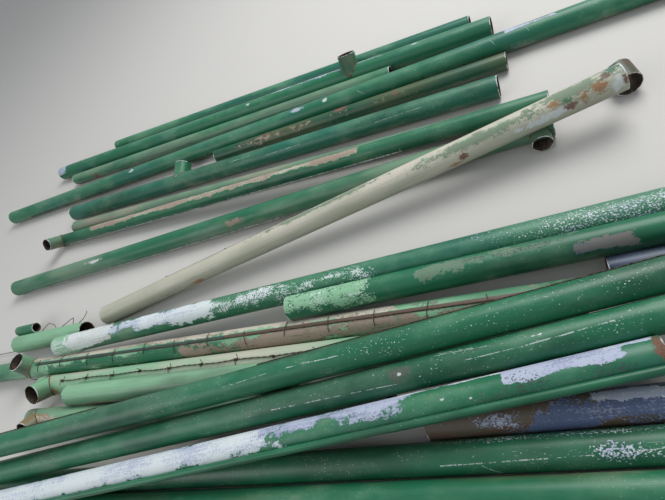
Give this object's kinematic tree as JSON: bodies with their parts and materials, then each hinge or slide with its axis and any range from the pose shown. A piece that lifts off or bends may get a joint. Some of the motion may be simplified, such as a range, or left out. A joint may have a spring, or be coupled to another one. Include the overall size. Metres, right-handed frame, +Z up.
{
  "type": "stack of steel tubes",
  "caption": "Loose stack of used round steel fence tubes in two rows, green painted, faded and rusting, with welded stubs across their ends.",
  "frame": {"origin": "on the ground under the middle of the stack's box", "axes": "+X runs along the tubes, +Y goes from the near row to the far row, +Z is up"},
  "size_m": [4.1046, 2.0784, 0.2262],
  "materials": {
    "green_paint": "worn green gloss paint",
    "olive_paint": "dull olive paint with rust spots",
    "pale_green_paint": "faded light green paint",
    "faded_paint": "chalky faded paint with rust patches",
    "peeled_paint": "peeling white and blue paint over green",
    "blue_paint": "scuffed dark blue paint",
    "plastic": "faded green domed plug"
  },
  "bodies": {
    "root": {"far_tube_1": "green_paint", "far_tube_10": "faded_paint", "far_tube_10_cross": "faded_paint", "far_tube_2": "green_paint", "far_tube_2_stub": "pale_green_paint", "far_tube_3": "green_paint", "far_tube_4": "green_paint", "far_tube_5": "olive_paint", "far_tube_6": "green_paint", "far_tube_6_stub": "green_paint", "far_tube_7": "olive_paint", "far_tube_8": "green_paint", "far_tube_8_stub": "green_paint", "far_tube_9": "green_paint", "far_tube_9_stub": "green_paint", "near_tube_1": "pale_green_paint", "near_tube_10": "green_paint", "near_tube_11": "green_paint", "near_tube_11_plug": "plastic", "near_tube_12": "peeled_paint", "near_tube_13": "pale_green_paint", "near_tube_14": "green_paint", "near_tube_15": "green_paint", "near_tube_1_sleeve": "pale_green_paint", "near_tube_2": "green_paint", "near_tube_2_stub": "green_paint", "near_tube_3": "blue_paint", "near_tube_4": "green_paint", "near_tube_4_stub": "green_paint", "near_tube_5": "green_paint", "near_tube_5_stub": "green_paint", "near_tube_6": "green_paint", "near_tube_7": "green_paint", "near_tube_8": "peeled_paint", "near_tube_9": "green_paint"}
  },
  "joints": []
}
